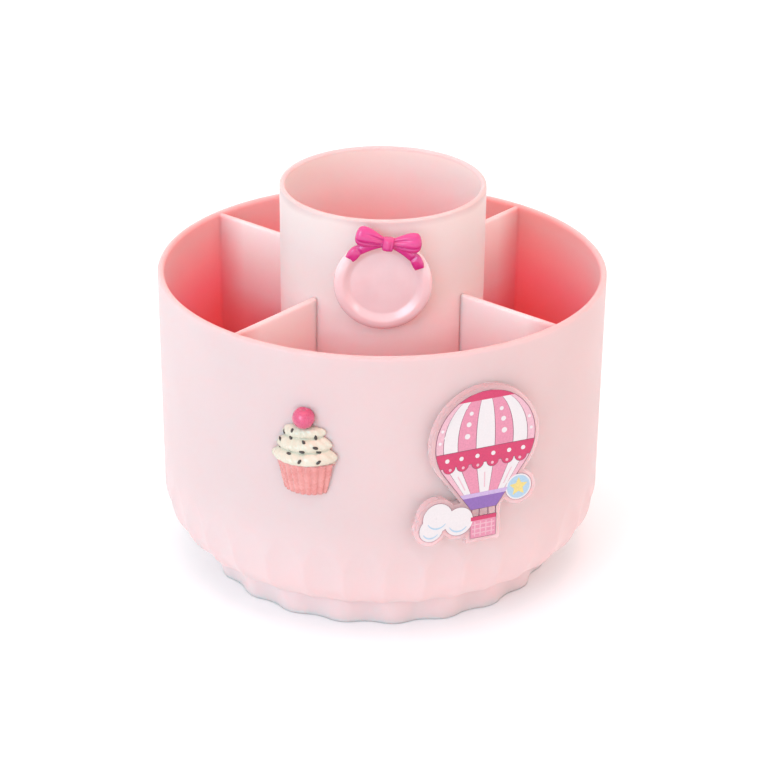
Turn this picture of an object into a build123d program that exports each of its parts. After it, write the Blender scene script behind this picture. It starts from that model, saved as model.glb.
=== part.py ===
from build123d import *
from math import asin, cos, degrees, radians, sin, sqrt, tan
import os

# Rotating pen holder in millimetres: Z up, desk at Z = 0, turning axis on Z, front towards -Y.
# Azimuths are in degrees from the front, positive towards +X.

os.makedirs("parts", exist_ok=True)

# Drum
rim_diameter = 150.0
rim_height = 105.0
drum_draft = 1.05
drum_wall = 2.2
drum_floor = 2.0
bowl_top = 29.0
bowl_radius = 22.0
lower_edge_width = 6.5

# Flutes of the bowl
flute_count = 34
flute_depth = 0.9
flute_radius = 35.0
flute_lean = 7.0
flute_runout = 12.0
flute_low_angle = 85.0
flute_azimuth = 1.2

# Dividers
divider_count = 4
divider_thickness = 1.6
divider_drop = 0.4
divider_round = 0.6
divider_azimuth = 45.0

# Centre cup
cup_diameter = 68.6
cup_height = 135.0
cup_draft = 0.5
cup_wall = 1.8
cup_floor = 2.0
cup_floor_lift = 8.0
cup_inner_round = 2.0
cup_gap = 0.25

# Foot
foot_top_diameter = 118.6
foot_bottom_diameter = 114.4
foot_height = 9.5
foot_wall = 2.0
foot_floor = 2.0
lobe_count = 20
lobe_depth = 1.8
turning_gap = 0.3

# Soft pad under the foot
pad_diameter = 92.0
pad_thickness = 2.0
pad_proud = 0.2
pad_clearance = 0.3

# Ball ring
ball_count = 14
ball_diameter = 5.0
ball_circle = 80.0
race_rise = 1.8
race_width = 8.0
race_groove = 0.6
race_clearance = 0.1
cage_thickness = 1.8
cage_margin = 2.0
pocket_clearance = 0.15

# Pivot
spindle_diameter = 8.0
spindle_clearance = 0.05
shoulder_height = 1.5
bush_wall = 2.0
flange_width = 2.5
flange_thickness = 1.0
hub_wall = 2.5
washer_diameter = 14.0
washer_thickness = 0.8
end_play = 0.2

# Screws
screw_diameter = 3.0
screw_head_diameter = 6.0
screw_head_height = 1.7
screw_head_round = 0.6
screw_slot_width = 1.0
screw_slot_depth = 0.8
pivot_screw_length = 6.0
cup_screw_length = 8.0
cup_screw_count = 3
cup_screw_circle = 40.0
boss_wall = 2.0
screw_clearance = 0.05
head_clearance = 0.3

# Dish charm on the cup
dish_azimuth = -4.7
dish_below_rim = 21.2
dish_diameter = 32.0
dish_well_diameter = 22.0
dish_well_thickness = 1.4
dish_rim_thickness = 2.8
dish_edge_height = 1.1

# Bow charm on the dish
bow_across = 1.5
bow_up = 15.4
bow_tilt = -8.0
bow_loop_length = 10.9
bow_loop_width = 6.9
bow_loop_thickness = 4.0
bow_loop_angle = 9.0
bow_loop_lift = 1.4
bow_loop_stations = (0.08, 0.4, 0.7, 0.9, 1.0)
bow_loop_swell = (0.42, 0.7, 0.97, 0.9, 0.45)
bow_tail_length = 14.5
bow_tail_width = 4.4
bow_tail_root_width = 2.6
bow_tail_thickness = 1.8
bow_tail_angle = 29.5
bow_tail_notch = 0.6
bow_knot_width = 4.2
bow_knot_height = 4.4
bow_knot_thickness = 4.4
bow_knot_round = 1.3

# Cupcake charm on the drum
cupcake_azimuth = -24.0
cupcake_height = 71.8
cupcake_sink = 6.0
case_bottom_radius = 9.3
case_top_radius = 11.9
case_height = 11.5
case_pleat_count = 28
case_pleat_depth = 0.6
icing_radii = (13.2, 11.7, 9.6)
icing_rise = 4.3
cherry_radius = 3.6
cherry_sink = 1.4

# Balloon plaque on the drum
plaque_azimuth = 19.4
plaque_height = 65.5
plaque_thickness = 2.6
plaque_margin = 1.5
print_thickness = 0.2
balloon_radius = 17.6
balloon_across = 1.6
balloon_up = 8.6
balloon_taper = 35.0
mouth_width = 9.0
rope_drop = 3.5
basket_width = 9.0
basket_height = 7.0
cloud_puffs = ((-14.8, -16.4, 5.2), (-7.2, -19.0, 5.0), (-17.0, -20.2, 4.2))
badge_radius = 4.6
badge_across = 13.9
badge_up = -10.4

# Adhesive
glue_film = 0.25
dish_glue_diameter = 18.0
cupcake_glue_diameter = 14.0
plaque_glue_diameter = 26.0
bow_glue_diameter = 3.0
bow_glue_drop = 1.6

# Levels above the desk
foot_bottom = pad_proud
foot_top = foot_bottom + foot_height
foot_floor_top = pad_thickness + foot_floor
drum_bottom = foot_top + turning_gap
ball_radius = ball_diameter / 2
lower_race_top = foot_floor_top + race_rise
ball_level = lower_race_top - race_groove + race_clearance + ball_radius
upper_race_bottom = 2 * ball_level - lower_race_top
drum_underside = upper_race_bottom + race_rise
drum_floor_top = drum_underside + drum_floor
spindle_end = pad_thickness + head_clearance + screw_head_height + washer_thickness
hub_ledge = spindle_end + end_play
flange_top = drum_underside - shoulder_height - race_clearance
hub_top = flange_top - flange_thickness
cup_floor_bottom = drum_floor_top + cup_floor_lift
cup_floor_top = cup_floor_bottom + cup_floor
divider_top = rim_height - divider_drop
dish_height = cup_height - dish_below_rim

# Radii
spindle_radius = spindle_diameter / 2
bush_bore = spindle_radius + spindle_clearance
bush_radius = bush_bore + bush_wall
flange_radius = bush_radius + flange_width
hub_bore = washer_diameter / 2 + pad_clearance
hub_radius = hub_bore + hub_wall
screw_radius = screw_diameter / 2
pilot_radius = screw_radius + screw_clearance
groove_radius = ball_radius + race_clearance
pocket_radius = ball_radius + pocket_clearance
race_centre = ball_circle / 2


def drum_radius(height):
    """Outside radius of the drum's drafted wall at a height."""
    return rim_diameter / 2 - (rim_height - height) * tan(radians(drum_draft))


def cup_radius(height):
    """Outside radius of the centre cup at a height."""
    return cup_diameter / 2 - (cup_height - height) * tan(radians(cup_draft))


# The bowl's arc is tangent to the drafted wall at bowl_top.
bowl_centre_radius = drum_radius(bowl_top) - bowl_radius * cos(radians(drum_draft))
bowl_centre_height = bowl_top + bowl_radius * sin(radians(drum_draft))


def on_bowl(radius, angle):
    """Point of the half section at a radius from the bowl's centre, angle in degrees below level."""
    return (
        bowl_centre_radius + radius * cos(radians(angle)),
        bowl_centre_height - radius * sin(radians(angle)),
    )


def bowl_angle(radius, height):
    """Angle below level at which a concentric arc of the bowl reaches a height."""
    return degrees(asin((bowl_centre_height - height) / radius))


def wall_plane(azimuth, height, radius, draft):
    """Plane tangent to a drafted round wall: X along the wall, Y up the wall, Z outwards."""
    turn = radians(azimuth)
    lean = radians(draft)
    return Plane(
        origin=(radius * sin(turn), -radius * cos(turn), height),
        x_dir=(cos(turn), sin(turn), 0),
        z_dir=(sin(turn) * cos(lean), -cos(turn) * cos(lean), -sin(lean)),
    )


def turned_plane(plane, across, up, out, tilt):
    """Plane parallel to another, moved in its own directions and turned about its normal."""
    turn = radians(tilt)
    return Plane(
        origin=plane.from_local_coords((across, up, out)),
        x_dir=plane.x_dir * cos(turn) + plane.y_dir * sin(turn),
        z_dir=plane.z_dir,
    )


def wavy_outline(crest_radius, depth, count):
    """Closed outline of convex and concave arcs that meet halfway down each wave, a crest at the front."""
    step = 360 / count
    middle_radius = crest_radius - depth / 2
    for wave in range(count):
        crest = -90 + wave * step
        points = [
            (middle_radius, crest - step / 4),
            (crest_radius, crest),
            (middle_radius, crest + step / 4),
            (crest_radius - depth, crest + step / 2),
            (middle_radius, crest + step * 3 / 4),
        ]
        points = [(radius * cos(radians(angle)), radius * sin(radians(angle))) for radius, angle in points]
        ThreePointArc(*points[:3])
        ThreePointArc(*points[2:])


# Foot: lobed dish with the lower ball track and the hub
foot_inner_bottom = foot_bottom_diameter / 2 - lobe_depth - foot_wall
foot_inner_top = foot_top_diameter / 2 - lobe_depth - foot_wall

with BuildPart() as base_foot:
    with BuildSketch(Plane.XY.offset(foot_bottom)):
        with BuildLine():
            wavy_outline(foot_bottom_diameter / 2, lobe_depth, lobe_count)
        make_face()
    with BuildSketch(Plane.XY.offset(foot_top)):
        with BuildLine():
            wavy_outline(foot_top_diameter / 2, lobe_depth, lobe_count)
        make_face()
    loft(ruled=True)
    with BuildSketch(Plane.XZ):
        with BuildLine():
            Polyline(
                (0, foot_floor_top),
                (foot_inner_bottom, foot_floor_top),
                (foot_inner_top, foot_top),
                (0, foot_top),
                close=True,
            )
        make_face()
    revolve(axis=Axis.Z, mode=Mode.SUBTRACT)
    with BuildSketch(Plane.XY.offset(foot_bottom)):
        Circle(pad_diameter / 2 + pad_clearance)
    extrude(amount=pad_thickness - foot_bottom, mode=Mode.SUBTRACT)
    with BuildSketch(Plane.XY.offset(foot_floor_top)):
        Circle(race_centre + race_width / 2)
        Circle(race_centre - race_width / 2, mode=Mode.SUBTRACT)
    extrude(amount=race_rise)
    with BuildSketch(Plane.XZ):
        with Locations((race_centre, ball_level)):
            Circle(groove_radius)
    revolve(axis=Axis.Z, mode=Mode.SUBTRACT)
    with BuildSketch(Plane.XY.offset(foot_floor_top)):
        Circle(hub_radius)
    extrude(amount=hub_top - foot_floor_top)
    with BuildSketch(Plane.XY.offset(pad_thickness)):
        Circle(hub_bore)
    extrude(amount=hub_ledge - pad_thickness, mode=Mode.SUBTRACT)
    with BuildSketch(Plane.XY.offset(hub_ledge)):
        Circle(bush_radius)
    extrude(amount=hub_top - hub_ledge, mode=Mode.SUBTRACT)

# Soft pad
with BuildPart() as anti_slip_pad:
    with BuildSketch():
        Circle(pad_diameter / 2)
    extrude(amount=pad_thickness)

# Flanged bush pressed into the hub
with BuildPart() as pivot_bush:
    with BuildSketch(Plane.XY.offset(hub_ledge)):
        Circle(bush_radius)
    extrude(amount=hub_top - hub_ledge)
    with BuildSketch(Plane.XY.offset(hub_top)):
        Circle(flange_radius)
    extrude(amount=flange_thickness)
    with BuildSketch(Plane.XY.offset(hub_ledge)):
        Circle(bush_bore)
    extrude(amount=flange_top - hub_ledge, mode=Mode.SUBTRACT)

# Ball cage
with BuildPart() as ball_cage:
    with BuildSketch(Plane.XY.offset(ball_level - cage_thickness / 2)):
        Circle(race_centre + pocket_radius + cage_margin)
        Circle(race_centre - pocket_radius - cage_margin, mode=Mode.SUBTRACT)
        with PolarLocations(race_centre, ball_count):
            Circle(pocket_radius, mode=Mode.SUBTRACT)
    extrude(amount=cage_thickness)

# Steel balls
with BuildPart() as bearing_balls:
    with Locations((0, 0, ball_level)):
        with PolarLocations(race_centre, ball_count):
            Sphere(ball_radius)

# One flute cutter: a round bar bent along the bowl that leans away from the wall at its upper end
flute_path_radius = bowl_radius - flute_depth + flute_radius
flute_top = on_bowl(flute_path_radius, flute_lean)

with BuildPart() as flute:
    with BuildLine(Plane.XZ) as flute_path:
        ThreePointArc(
            on_bowl(flute_path_radius, flute_low_angle),
            on_bowl(flute_path_radius, (flute_low_angle + flute_lean) / 2),
            flute_top,
        )
        Line(
            flute_top,
            (
                flute_top[0] + flute_runout * sin(radians(flute_lean)),
                flute_top[1] + flute_runout * cos(radians(flute_lean)),
            ),
        )
    with BuildSketch(Plane(origin=flute_path.line @ 0, z_dir=flute_path.line % 0)):
        Circle(flute_radius)
    sweep()

# One divider: its outer edge is buried halfway into the wall, its inner edge clears the cup
divider_outer_radius = bowl_radius - drum_wall / 2
divider_wall_offset = drum_wall / 2 / cos(radians(drum_draft))
divider_low_angle = bowl_angle(divider_outer_radius, drum_floor_top)

with BuildPart() as divider:
    with BuildSketch(Plane.XZ):
        with BuildLine():
            Polyline(
                on_bowl(divider_outer_radius, divider_low_angle),
                (cup_radius(drum_floor_top) + cup_gap, drum_floor_top),
                (cup_radius(divider_top) + cup_gap, divider_top),
                (drum_radius(divider_top) - divider_wall_offset, divider_top),
                on_bowl(divider_outer_radius, drum_draft),
            )
            ThreePointArc(
                on_bowl(divider_outer_radius, drum_draft),
                on_bowl(divider_outer_radius, (drum_draft + divider_low_angle) / 2),
                on_bowl(divider_outer_radius, divider_low_angle),
            )
        make_face()
    extrude(amount=divider_thickness / 2, both=True)
    fillet(divider.faces().sort_by(Axis.Z)[-1].edges().filter_by(Axis.X), radius=divider_round)

# Drum: fluted bowl, drafted wall with a rounded rim, floor, upper ball track and spindle
inner_radius = bowl_radius - drum_wall
outer_low_angle = bowl_angle(bowl_radius, drum_bottom)
inner_low_angle = bowl_angle(inner_radius, drum_floor_top)
lower_edge = on_bowl(bowl_radius, outer_low_angle)
wall_offset = drum_wall / cos(radians(drum_draft))
lip_height = rim_height - drum_wall / 2
lip_outer = drum_radius(lip_height)

with BuildPart() as drum:
    with BuildSketch(Plane.XZ):
        with BuildLine():
            Polyline(
                on_bowl(inner_radius, inner_low_angle),
                (0, drum_floor_top),
                (0, drum_underside),
                (lower_edge[0] - lower_edge_width, drum_underside),
                (lower_edge[0] - lower_edge_width, drum_bottom),
                lower_edge,
            )
            ThreePointArc(
                lower_edge,
                on_bowl(bowl_radius, (outer_low_angle + drum_draft) / 2),
                on_bowl(bowl_radius, drum_draft),
            )
            Line(on_bowl(bowl_radius, drum_draft), (lip_outer, lip_height))
            ThreePointArc(
                (lip_outer, lip_height),
                (lip_outer - wall_offset / 2, rim_height),
                (lip_outer - wall_offset, lip_height),
            )
            Line((lip_outer - wall_offset, lip_height), on_bowl(inner_radius, drum_draft))
            ThreePointArc(
                on_bowl(inner_radius, drum_draft),
                on_bowl(inner_radius, (inner_low_angle + drum_draft) / 2),
                on_bowl(inner_radius, inner_low_angle),
            )
        make_face()
    revolve(axis=Axis.Z)
    for turn in range(flute_count):
        angle = flute_azimuth - 90 + turn * 360 / flute_count
        add(flute.part.rotate(Axis.Z, angle), mode=Mode.SUBTRACT)
    for turn in range(divider_count):
        add(divider.part.rotate(Axis.Z, divider_azimuth + turn * 360 / divider_count))
    with BuildSketch(Plane.XY.offset(upper_race_bottom)):
        Circle(race_centre + race_width / 2)
        Circle(race_centre - race_width / 2, mode=Mode.SUBTRACT)
    extrude(amount=race_rise)
    with BuildSketch(Plane.XZ):
        with Locations((race_centre, ball_level)):
            Circle(groove_radius)
    revolve(axis=Axis.Z, mode=Mode.SUBTRACT)
    with BuildSketch(Plane.XY.offset(drum_underside - shoulder_height)):
        Circle(flange_radius)
    extrude(amount=shoulder_height)
    with BuildSketch(Plane.XY.offset(spindle_end)):
        Circle(spindle_radius)
    extrude(amount=drum_underside - spindle_end)
    with BuildSketch(Plane.XY.offset(spindle_end)):
        Circle(pilot_radius)
    extrude(amount=pivot_screw_length, mode=Mode.SUBTRACT)
    with BuildSketch(Plane.XY.offset(drum_underside)):
        with PolarLocations(cup_screw_circle / 2, cup_screw_count):
            Circle(pilot_radius)
    extrude(amount=drum_floor, mode=Mode.SUBTRACT)

# Centre cup: drafted tube on the drum's floor with a raised floor and screw bosses under it
cup_lip = cup_height - cup_wall / 2
cup_lip_radius = cup_radius(cup_lip)
cup_inner_floor = cup_radius(cup_floor_top) - cup_wall
cup_skirt_inner = cup_radius(drum_floor_top) - cup_wall

with BuildPart() as centre_cup:
    with BuildSketch(Plane.XZ):
        with BuildLine():
            Polyline(
                (cup_inner_floor - cup_inner_round, cup_floor_top),
                (0, cup_floor_top),
                (0, cup_floor_bottom),
                (cup_skirt_inner, cup_floor_bottom),
                (cup_skirt_inner, drum_floor_top),
                (cup_radius(drum_floor_top), drum_floor_top),
                (cup_lip_radius, cup_lip),
            )
            ThreePointArc(
                (cup_lip_radius, cup_lip),
                (cup_lip_radius - cup_wall / 2, cup_height),
                (cup_lip_radius - cup_wall, cup_lip),
            )
            Line((cup_lip_radius - cup_wall, cup_lip), (cup_inner_floor, cup_floor_top + cup_inner_round))
            RadiusArc(
                (cup_inner_floor, cup_floor_top + cup_inner_round),
                (cup_inner_floor - cup_inner_round, cup_floor_top),
                cup_inner_round,
            )
        make_face()
    revolve(axis=Axis.Z)
    with BuildSketch(Plane.XY.offset(drum_floor_top)):
        with PolarLocations(cup_screw_circle / 2, cup_screw_count):
            Circle(pilot_radius + boss_wall)
    extrude(amount=cup_floor_lift)
    with BuildSketch(Plane.XY.offset(drum_floor_top)):
        with PolarLocations(cup_screw_circle / 2, cup_screw_count):
            Circle(pilot_radius)
    extrude(amount=cup_floor_lift, mode=Mode.SUBTRACT)


def pan_head_screw(length):
    """Slotted pan-head screw that points up, with the underside of its head at zero height."""
    head_radius = screw_head_diameter / 2
    with BuildPart() as screw:
        with BuildSketch(Plane.XZ):
            with BuildLine():
                Polyline(
                    (head_radius - screw_head_round, -screw_head_height),
                    (0, -screw_head_height),
                    (0, length),
                    (screw_radius, length),
                    (screw_radius, 0),
                    (head_radius, 0),
                    (head_radius, screw_head_round - screw_head_height),
                )
                RadiusArc(
                    (head_radius, screw_head_round - screw_head_height),
                    (head_radius - screw_head_round, -screw_head_height),
                    screw_head_round,
                )
            make_face()
        revolve(axis=Axis.Z)
        with BuildSketch(Plane.XY.offset(-screw_head_height)):
            Rectangle(screw_head_diameter, screw_slot_width)
        extrude(amount=screw_slot_depth, mode=Mode.SUBTRACT)
    return screw.part


# Screws: the pivot's goes up into the spindle, the cup's go up through the drum's floor into the bosses
with BuildPart() as pivot_screw:
    with Locations((0, 0, spindle_end - washer_thickness)):
        add(pan_head_screw(pivot_screw_length - end_play))

with BuildPart() as cup_screws:
    with Locations((0, 0, drum_underside)):
        with PolarLocations(cup_screw_circle / 2, cup_screw_count):
            add(pan_head_screw(cup_screw_length))

# Washer that keeps the spindle in the bush
with BuildPart() as pivot_washer:
    with BuildSketch(Plane.XY.offset(spindle_end - washer_thickness)):
        Circle(washer_diameter / 2)
        Circle(pilot_radius, mode=Mode.SUBTRACT)
    extrude(amount=washer_thickness)

# Dish charm: flat back, shallow well and a rounded rim
dish_back = cup_radius(dish_height) + glue_film
dish_plane = wall_plane(dish_azimuth, dish_height, dish_back, cup_draft)
dish_radius = dish_diameter / 2
dish_well = dish_well_diameter / 2
dish_rim_crest = (dish_radius + dish_well) / 2

with BuildPart() as dish_charm:
    with BuildSketch(Plane(origin=dish_plane.origin, x_dir=dish_plane.x_dir, z_dir=-dish_plane.y_dir)):
        with BuildLine():
            Polyline(
                (dish_well, dish_well_thickness),
                (0, dish_well_thickness),
                (0, 0),
                (dish_rim_crest, 0),
                (dish_radius, dish_edge_height),
            )
            ThreePointArc(
                (dish_radius, dish_edge_height),
                (dish_rim_crest, dish_rim_thickness),
                (dish_well, dish_well_thickness),
            )
        make_face()
    revolve(axis=Axis(dish_plane.origin, dish_plane.z_dir))

# Bow charm: two puffed loops, two notched tails and a rounded knot on a flat back
bow_plane = turned_plane(dish_plane, bow_across, bow_up, dish_rim_thickness + glue_film, bow_tilt)


def bow_loop(side):
    """Loop of the bow: a loft through ellipses that swell away from the knot."""
    slant = radians(bow_loop_angle)
    along = Vector(side * cos(slant), sin(slant), 0)
    with BuildPart() as loop:
        for station, swell in zip(bow_loop_stations, bow_loop_swell):
            middle = along * (station * bow_loop_length) + Vector(0, 0, bow_loop_lift)
            loop_plane = Plane(
                origin=bow_plane.from_local_coords(middle),
                x_dir=bow_plane.z_dir,
                z_dir=bow_plane.from_local_coords(along) - bow_plane.origin,
            )
            with BuildSketch(loop_plane):
                Ellipse(bow_loop_thickness * swell / 2, bow_loop_width * swell / 2)
        loft()
        split(bisect_by=bow_plane, keep=Keep.TOP)
    return loop.part


def bow_tail(side):
    """Tail of the bow: a flat ribbon end that widens from the knot and has a notched tip."""
    slant = radians(bow_tail_angle)
    along = Vector(side * cos(slant), -sin(slant), 0)
    across = Vector(sin(slant), side * cos(slant), 0)
    root = across * (bow_tail_root_width / 2)
    tip = across * (bow_tail_width / 2)
    end = along * bow_tail_length
    notch = along * (bow_tail_length - bow_tail_notch)
    with BuildPart() as tail:
        with BuildSketch(bow_plane):
            with BuildLine():
                Polyline(root, end + tip, notch, end - tip, -root, close=True)
            make_face()
        extrude(amount=bow_tail_thickness)
    return tail.part


bow_pieces = [bow_loop(1), bow_loop(-1), bow_tail(1), bow_tail(-1)]

with BuildPart() as bow_charm:
    with BuildSketch(bow_plane):
        RectangleRounded(bow_knot_width, bow_knot_height, bow_knot_round)
    extrude(amount=bow_knot_thickness)
    fillet(bow_charm.faces().sort_by(Axis(bow_plane.origin, bow_plane.z_dir))[-1].edges(), bow_knot_round)
    for bow_piece in bow_pieces:
        add(bow_piece)

# Cupcake charm: pleated case, three rings of icing and a cherry, round about an axis behind its flat back
cupcake_back = drum_radius(cupcake_height) + glue_film
cupcake_plane = wall_plane(cupcake_azimuth, cupcake_height, cupcake_back, drum_draft)
cupcake_section = turned_plane(cupcake_plane, 0, 0, -cupcake_sink, 0)
cupcake_axis = Axis(cupcake_section.origin, cupcake_section.y_dir)
icing_base = -icing_rise
case_base = icing_base - case_height
icing_top = icing_base + len(icing_radii) * icing_rise
cherry_level = icing_top + cherry_radius - cherry_sink


def case_plane(level):
    """Plane across the cupcake's axis at a level, its X to the right and its Y behind."""
    return Plane(
        origin=cupcake_section.from_local_coords((0, level, 0)),
        x_dir=cupcake_section.x_dir,
        z_dir=cupcake_section.y_dir,
    )


with BuildPart() as cupcake_charm:
    with BuildSketch(case_plane(case_base)):
        with BuildLine():
            wavy_outline(case_bottom_radius, case_pleat_depth, case_pleat_count)
        make_face()
    with BuildSketch(case_plane(icing_base)):
        with BuildLine():
            wavy_outline(case_top_radius, case_pleat_depth, case_pleat_count)
        make_face()
    loft(ruled=True)
    for tier, radius in enumerate(icing_radii):
        low = icing_base + tier * icing_rise
        core = radius - icing_rise / 2
        with BuildSketch(cupcake_section):
            with BuildLine():
                Polyline((core, low + icing_rise), (0, low + icing_rise), (0, low), (core, low))
                ThreePointArc((core, low), (radius, low + icing_rise / 2), (core, low + icing_rise))
            make_face()
        revolve(axis=cupcake_axis)
    with Locations(cupcake_plane.from_local_coords((0, cherry_level, cherry_sink))):
        Sphere(cherry_radius)
    split(bisect_by=cupcake_plane, keep=Keep.TOP)

# Balloon plaque: clear board cut round a hot-air balloon, a cloud and a round badge, and its printed layer
plaque_back = drum_radius(plaque_height) + glue_film
plaque_plane = wall_plane(plaque_azimuth, plaque_height, plaque_back, drum_draft)
taper_half_width = balloon_radius * cos(radians(balloon_taper))
taper_level = balloon_up - balloon_radius * sin(radians(balloon_taper))
mouth_level = taper_level - (taper_half_width - mouth_width / 2) / tan(radians(balloon_taper))


def balloon_outline(plane, margin):
    """Joined outline of the balloon, its ropes and basket, the cloud and the badge, grown by a margin."""
    with BuildSketch(plane) as outline:
        with Locations((balloon_across, balloon_up)):
            Circle(balloon_radius + margin)
        with BuildLine():
            Polyline(
                (balloon_across - taper_half_width - margin, taper_level),
                (balloon_across - mouth_width / 2 - margin, mouth_level),
                (balloon_across + mouth_width / 2 + margin, mouth_level),
                (balloon_across + taper_half_width + margin, taper_level),
                close=True,
            )
        make_face()
        with Locations((balloon_across, mouth_level - (rope_drop + basket_height) / 2)):
            Rectangle(basket_width + 2 * margin, rope_drop + basket_height + 2 * margin)
        for across, up, radius in cloud_puffs:
            with Locations((across, up)):
                Circle(radius + margin)
        with Locations((badge_across, badge_up)):
            Circle(badge_radius + margin)
    return outline.sketch


plaque_outline = balloon_outline(plaque_plane, plaque_margin)
print_outline = balloon_outline(plaque_plane.offset(plaque_thickness), 0.0)

with BuildPart() as acrylic_plaque:
    extrude(plaque_outline, amount=plaque_thickness)

with BuildPart() as plaque_print:
    extrude(print_outline, amount=print_thickness)


def glue_spot(plane, diameter, radius_at, height):
    """Adhesive disc that fills the space between a flat back and the round wall behind it."""
    radius = radius_at(height)
    depth = 2 * glue_film + radius - sqrt(radius**2 - diameter**2 / 4)
    low = height - diameter
    high = height + diameter
    with BuildPart() as spot:
        with BuildSketch(plane):
            Circle(diameter / 2)
        extrude(amount=-depth)
        with BuildSketch(Plane.XZ):
            with BuildLine():
                Polyline((0, low), (radius_at(low), low), (radius_at(high), high), (0, high), close=True)
            make_face()
        revolve(axis=Axis.Z, mode=Mode.SUBTRACT)
    return spot


with BuildPart() as bow_glue:
    with BuildSketch(bow_plane):
        with Locations((0, -bow_glue_drop)):
            Circle(bow_glue_diameter / 2)
    extrude(amount=dish_well_thickness - dish_rim_thickness)
    add(dish_charm.part, mode=Mode.SUBTRACT)

dish_glue = glue_spot(dish_plane, dish_glue_diameter, cup_radius, dish_height)
cupcake_glue = glue_spot(cupcake_plane, cupcake_glue_diameter, drum_radius, cupcake_height)
plaque_glue = glue_spot(plaque_plane, plaque_glue_diameter, drum_radius, plaque_height)

pieces = {
    "base_foot": base_foot,
    "anti_slip_pad": anti_slip_pad,
    "pivot_bush": pivot_bush,
    "ball_cage": ball_cage,
    "bearing_balls": bearing_balls,
    "drum": drum,
    "centre_cup": centre_cup,
    "cup_screws": cup_screws,
    "pivot_washer": pivot_washer,
    "pivot_screw": pivot_screw,
    "dish_charm": dish_charm,
    "bow_charm": bow_charm,
    "cupcake_charm": cupcake_charm,
    "acrylic_plaque": acrylic_plaque,
    "plaque_print": plaque_print,
    "bow_glue": bow_glue,
    "dish_glue": dish_glue,
    "cupcake_glue": cupcake_glue,
    "plaque_glue": plaque_glue,
}
for name, piece in pieces.items():
    piece.part.label = name
    export_step(piece.part, f"parts/{name}.step")
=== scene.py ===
# %% [markdown]
# # A rotating pen holder
#
# The real object is a pale pink plastic drum with a taller cup in its middle. It turns on a
# small lobed foot, and four charms are glued to its front. The CAD model already has every
# piece at its true size, so this lesson loads it as a fixed frame and spends its effort on
# finishes, on the charms' soft cast shapes and on the light.

# %% Load the frame and keep its box
import bpy
import bmesh
import math
from mathutils import Matrix, Vector


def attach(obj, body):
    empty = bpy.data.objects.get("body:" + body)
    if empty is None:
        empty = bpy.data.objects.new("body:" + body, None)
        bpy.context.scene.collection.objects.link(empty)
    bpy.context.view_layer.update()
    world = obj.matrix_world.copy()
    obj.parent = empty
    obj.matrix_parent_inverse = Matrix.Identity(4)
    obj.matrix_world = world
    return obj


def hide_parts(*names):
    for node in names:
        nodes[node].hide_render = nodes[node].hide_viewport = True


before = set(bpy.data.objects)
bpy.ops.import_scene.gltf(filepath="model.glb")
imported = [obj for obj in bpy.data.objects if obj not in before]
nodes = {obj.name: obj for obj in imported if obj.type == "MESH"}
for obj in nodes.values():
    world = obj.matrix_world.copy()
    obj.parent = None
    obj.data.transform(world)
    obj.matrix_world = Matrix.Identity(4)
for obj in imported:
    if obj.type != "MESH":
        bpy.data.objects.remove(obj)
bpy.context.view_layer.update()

MM = 0.001
scene = bpy.context.scene

# %% [markdown]
# ## Where the photographer stood
#
# A long lens from about 1.2 m gives the photograph's gentle perspective. The angles come from
# fitting the rim, the cup and the foot to the picture. Building the camera's matrix from its
# own right, up and back directions keeps the tiny roll of a hand-held picture.

# %% Camera
view_azimuth = math.radians(-5.2)
view_elevation = math.radians(24.62)
view_roll = math.radians(0.54)
view_distance = 1.2016
view_target = Vector((0.00094, -0.00009, 0.06156))
sensor_width = 36.0
focal_length = 166.1

back = Vector((
    math.sin(view_azimuth) * math.cos(view_elevation),
    -math.cos(view_azimuth) * math.cos(view_elevation),
    math.sin(view_elevation),
))
level_right = Vector((math.cos(view_azimuth), math.sin(view_azimuth), 0))
level_up = back.cross(level_right)
right = level_right * math.cos(view_roll) + level_up * math.sin(view_roll)
up = back.cross(right)

camera_data = bpy.data.cameras.new("photo_camera")
camera_data.lens = focal_length
camera_data.sensor_width = sensor_width
camera = bpy.data.objects.new("photo_camera", camera_data)
axes = Matrix((right, up, back)).transposed().to_4x4()
camera.matrix_world = Matrix.Translation(view_target + back * view_distance) @ axes
scene.collection.objects.link(camera)
scene.camera = camera
print("camera at", [round(c, 3) for c in camera.location])

# %% [markdown]
# ## Nodes without repetition
#
# Every finish below is a small node tree around one Principled shader. These helpers make a
# node, set its sockets by name and link it, so that each recipe reads as a list of what it
# does. Textures use object coordinates, which stay with a piece when it turns.

# %% Node helpers
def new_finish(name):
    """A material with one Principled shader: returns the material, its tree and the shader."""
    finish = bpy.data.materials.new(name)
    finish.use_nodes = True
    tree = finish.node_tree
    tree.nodes.clear()
    shader = tree.nodes.new("ShaderNodeBsdfPrincipled")
    output = tree.nodes.new("ShaderNodeOutputMaterial")
    tree.links.new(shader.outputs["BSDF"], output.inputs["Surface"])
    return finish, tree, shader


def set_inputs(made, **sockets):
    """Sets a node's input sockets by name, with _ for each space."""
    for socket, value in sockets.items():
        made.inputs[socket.replace("_", " ")].default_value = value


def node(tree, kind, **sockets):
    """A node with the values of its input sockets set by name."""
    made = tree.nodes.new(kind)
    set_inputs(made, **sockets)
    return made


def object_position(tree):
    """The socket that gives a point's place on the piece itself."""
    return tree.nodes.new("ShaderNodeTexCoord").outputs["Object"]


def noise(tree, scale, detail=2.0, roughness=0.5):
    """The factor of a noise texture fixed to the piece."""
    texture = node(tree, "ShaderNodeTexNoise", Scale=scale, Detail=detail, Roughness=roughness)
    tree.links.new(object_position(tree), texture.inputs["Vector"])
    return texture.outputs["Fac"]


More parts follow.
